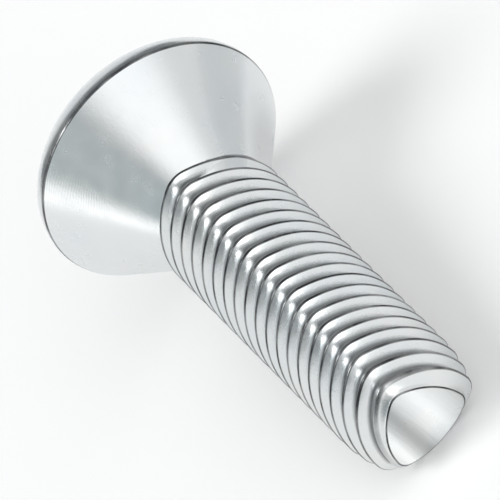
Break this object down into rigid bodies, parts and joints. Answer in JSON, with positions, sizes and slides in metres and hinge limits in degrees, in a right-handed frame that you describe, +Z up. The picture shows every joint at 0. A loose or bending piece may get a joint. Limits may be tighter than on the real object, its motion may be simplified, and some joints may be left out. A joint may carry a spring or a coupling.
{
  "type": "oval head thread-forming screw",
  "caption": "Steel machine screw with an oval countersunk head, cross recess, lobed thread-forming body and blunt tapered point.",
  "frame": {"origin": "on the surface the screw lies on, below the middle of its bounding box", "axes": "+X along the screw towards its point, +Z up, with one lobe of the body on top"},
  "size_m": [0.0254, 0.012, 0.0119],
  "materials": {
    "zinc_steel": "bright zinc plate"
  },
  "bodies": {
    "root": {"screw": "zinc_steel"}
  },
  "joints": []
}
